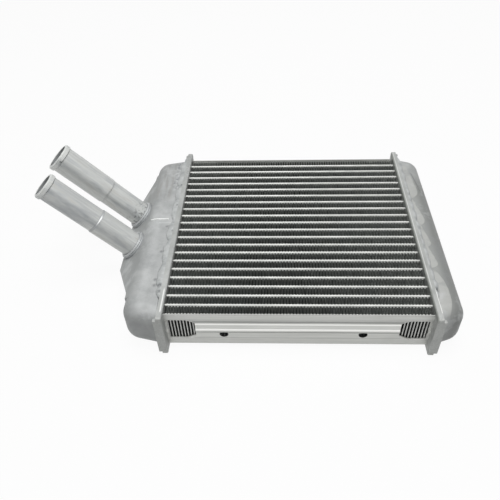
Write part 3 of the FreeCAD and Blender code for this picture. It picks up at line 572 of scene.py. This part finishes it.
def quads(lower, upper, count, flip):
    """Faces between two rows of count points, given by their first points; flip turns them over."""
    steps = range(count - 1)
    rings = [(lower + step, lower + step + 1, upper + step + 1, upper + step) for step in steps]
    return rings if flip else [ring[::-1] for ring in rings]


def fin_line(chance, length, crest):
    """The folded sheet's middle line, X and Y, with rounded crests a little unlike each other."""
    folds = 2 * round(length / FIN_PITCH)
    step = length / folds
    line = []
    for fold in range(folds):
        centre = (fold + 0.5) * step - length / 2 + chance.uniform(-0.05, 0.05)
        side = 1 if fold % 2 else -1
        line += [(centre + along, side * height * crest) for along, height in CREST]
    return line


def fin_skins(line):
    """The two sides of the sheet: the middle line set off by half the sheet on either side."""
    skins = ([], [])
    for point, (x, y) in enumerate(line):
        before, after = line[max(point - 1, 0)], line[min(point + 1, len(line) - 1)]
        along = Vector((after[0] - before[0], after[1] - before[1])).normalized() * FIN_SHEET / 2
        skins[0].append((x - along.y, y + along.x))
        skins[1].append((x + along.y, y - along.x))
    return skins


def fin_faces(count):
    """Faces of the sheet: both sides over three levels, then the edges at the bottom and the top."""
    faces = []
    for level in range(3):
        for skin in (0, 1):
            base = (level * 2 + skin) * count
            faces += quads(base, base + 2 * count, count, skin)
    return faces + quads(0, count, count, True) + quads(6 * count, 7 * count, count, False)


def fin_strip(index, finish):
    """One fin strip at the true spacing: thin sheet, braze inside its crests, a few folds bent."""
    node = "fin_%02d" % index
    low, high = box(node)
    middle = (low.y + high.y) / 2
    reach = (high.y - low.y) / 2
    chance = random.Random(FIN_SEED + index)
    line = fin_line(chance, high.x - low.x, reach - FIN_SHEET / 2)
    bent = {}
    for _ in range(BENT_FOLDS):
        fold = chance.randrange(10, len(line) // len(CREST) - 10)
        bent[fold] = chance.choice((-1, 1)) * chance.uniform(*FOLD_LEAN)
    vertices = []
    crests = []
    for level, z in enumerate((low.z, low.z + FIN_RIM, high.z - FIN_RIM, high.z)):
        for side, skin in enumerate(fin_skins(line)):
            for point, (x, y) in enumerate(skin):
                lean = 0.0
                if level in (0, 3):
                    crest = clamp((abs(y) / reach - 0.8) / 0.12, 0.0, 1.0)
                    inner = (side == 0) == (y < 0)
                    y -= math.copysign(FIN_BRAZE * crest, y) if inner else 0.0
                    lean = EDGE_WANDER * noise.noise(Vector((x * 0.9, index * 7.0, level)))
                if level == 3:
                    lean += bent.get(point // len(CREST), 0.0) * (1 - abs(y) / FOLD_REACH)
                across = clamp(y, low.y - middle, high.y - middle)
                vertices.append((clamp(x + lean, low.x, high.x), middle + across, z))
                crests.append(y / reach)
    name = "fin_strip_%02d" % index
    piece(name, vertices, fin_faces(len(line)), finish, [node], "crest", crests)


def weld_pools(chance, low, high, pitches):
    """The pools of one run from front to back: where each starts, its length and its size."""
    pools = []
    y = low
    while y < high:
        pitch = chance.uniform(*pitches)
        pools.append((y, pitch, chance.uniform(0.75, 1.25)))
        y += pitch
    return pools


def weld_ring(y, leg, swell, size, side, level):
    """One ring across a weld, from its foot on the tank to the header's lip: each point out and up."""
    rise = HEADER_TOP - TANK_TOP
    belly = 0.55 + 0.25 * swell * size
    ring = []
    for step in range(WELD_STEPS + 1):
        angle = math.pi / 2 * step / WELD_STEPS
        bulge = math.sin(2 * angle)
        ripple = 0.04 * math.sin(y * 5.0 + step * 0.5) * swell
        knock = 0.2 * noise.noise(Vector((y * 0.3, step * 0.4, side * 3.0 + level)))
        out = max(leg * math.cos(angle) ** (1.25 - 0.35 * belly) + (ripple + knock) * bulge, 0.0)
        height = (rise + 0.12) * math.sin(angle) ** 1.1
        if 0 < step < WELD_STEPS:
            height = max(height * (0.72 + 0.28 * swell) + 0.3 * knock * bulge, WELD_SINK)
        ring.append((out, WELD_SINK if step == 0 else min(height, rise)))
    return ring


def weld_run(side, level, finish):
    """One hand-laid weld: overlapping pools with a wavering edge towards the tank."""
    side_name = "left" if side < 0 else "right"
    level_name = "top" if level > 0 else "bottom"
    node = "weld_bead_%s_%s" % (side_name, level_name)
    pitches, sharpness, wander = ((9.0, 26.0), 0.35, 0.5) if side < 0 else ((6.0, 13.0), 0.5, 0.3)
    low, high = box(node)
    pools = weld_pools(random.Random(WELD_SEED + side * 3 + level), low.y, high.y, pitches)
    count = int((high.y - low.y) / WELD_RING)
    vertices = []
    crowns = []
    for row in range(count + 1):
        y = low.y + (high.y - low.y) * row / count
        start, pitch, size = [pool for pool in pools if pool[0] <= y + 1e-9][-1]
        phase = min((y - start) / pitch, 1.0)
        swell = math.sin(math.pi * phase) ** sharpness if 0 < phase < 1 else 0.0
        ends = min(1.0, (y - low.y) / WELD_TAPER["front"], (high.y - y) / WELD_TAPER["back"])
        waver = noise.noise(Vector((y * 0.12, side * 5.0, level * 9.0)))
        spread = min(0.5 + 0.3 * swell * size + wander * waver, 1.15)
        leg = (high.x - low.x) * spread * (0.35 + 0.65 * ends)
        for step, (out, height) in enumerate(weld_ring(y, leg, swell, size, side, level)):
            vertices.append((side * (LIP_X + out), y, MIDDLE + level * (TANK_TOP - MIDDLE + height)))
            # How high each point stands on its pool, low at the foot: it carries the weld's painted highlight
            # and painted shade
            crowns.append((0.35 + 0.65 * swell) * min(1.0, 0.2 + step * 0.3 + 0.5 * waver))
    faces = []
    across = WELD_STEPS + 1
    for first in range(0, count * across, across):
        faces += quads(first, first + across, across, side * level > 0)
    name = "weld_%s_%s" % (side_name, level_name)
    piece(name, vertices, faces, finish, [node], "crown", crowns)


def dress_nodes(finishes):
    """Give every CAD node that stays its finish."""
    for name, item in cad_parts.items():
        kind = next(key for key in finishes if name.startswith(key))
        item.data.materials.clear()
        item.data.materials.append(finishes[kind])


def camera():
    """The photograph's viewing angle."""
    turn = Matrix.Identity(3)
    for degrees, axis in CAMERA_TURNS:
        turn = turn @ Matrix.Rotation(math.radians(degrees), 3, axis)
    right, forward, up = turn.col
    data = bpy.data.cameras.new("camera")
    data.lens = CAMERA_LENS
    data.sensor_width = 36.0
    data.shift_y = CAMERA_SHIFT
    data.clip_start = 0.01
    made = bpy.data.objects.new("camera", data)
    aim = Matrix((right, up, -forward)).transposed().to_4x4()
    made.matrix_world = Matrix.Translation(Vector(CAMERA_PLACE) * MM) @ aim
    bpy.context.scene.collection.objects.link(made)
    bpy.context.scene.camera = made


def lamp(name, place, size, power):
    """A soft square lamp turned to the middle of the part."""
    data = bpy.data.lights.new(name, "AREA")
    data.shape = "SQUARE"
    data.size = size
    data.energy = power
    made = bpy.data.objects.new(name, data)
    made.location = place
    made.rotation_euler = (Vector(LAMP_AIM) - Vector(place)).to_track_quat("-Z", "Y").to_euler()
    bpy.context.scene.collection.objects.link(made)


def seen_mask(finish):
    """1 for what the camera sees itself, in a mirror or through glass."""
    rays = ("Is Camera Ray", "Is Glossy Ray", "Is Transmission Ray")
    seen, glossy, through = (finish.node("ShaderNodeLightPath", output=ray) for ray in rays)
    return (seen + glossy + through).held()


def studio():
    """White sweep with a painted shadow right under the part, and soft light from above and in front."""
    corners = ((-1, -1), (1, -1), (1, 1), (-1, 1))
    mesh = bpy.data.meshes.new("floor")
    mesh.from_pydata([(x * FLOOR_REACH, y * FLOOR_REACH, FLOOR_Z) for x, y in corners], [], [(0, 1, 2, 3)])
    floor = bpy.data.objects.new("floor", mesh)
    bpy.context.scene.collection.objects.link(floor)
    paper = Finish("paper")
    matt = paper.node("ShaderNodeBsdfDiffuse", None, {"Color": PAPER})
    # Painted shadow on the floor right under the part
    under = abs(paper.x).step(95.0, 88.0) * abs(paper.y).step(88.0, 82.0)
    glow = paper.node("ShaderNodeEmission", None, {"Color": paper.mix(under * 0.9, WHITE, BLACK)})
    shares = {0: seen_mask(paper) * 0.94, 1: matt, 2: glow}
    surface = paper.node("ShaderNodeMixShader", None, shares)
    paper.node("ShaderNodeOutputMaterial", None, {"Surface": surface})
    mesh.materials.append(paper.material)

    sky = Finish("sky", bpy.data.worlds)
    bpy.context.scene.world = sky.material
    strength = 0.13 + seen_mask(sky) * 0.87
    light = sky.node("ShaderNodeBackground", None, {"Color": WHITE, "Strength": strength})
    sky.node("ShaderNodeOutputWorld", None, {"Surface": light})

    lamp("key_lamp", (0.02, 0.0, 1.2), 0.7, 11.0)
    lamp("front_lamp", (-0.15, -0.7, 1.1), 0.3, 3.0)
    bpy.context.scene.view_settings.view_transform = "Standard"


camera()
studio()
finishes = {
    "tube": tube_finish(),
    "fin": fin_finish(),
    "header": header_finish(),
    "tank": tank_finish(),
    "baffle": baffle_finish(),
    "side_plate": plate_finish(),
    "pipe": pipe_finish(),
    "collar": collar_finish(),
    "weld_bead": weld_finish(),
}
dress_nodes(finishes)
for strip in range(1, FIN_COUNT + 1):
    fin_strip(strip, finishes["fin"])
for side in (-1, 1):
    for level in (-1, 1):
        weld_run(side, level, finishes["weld_bead"])
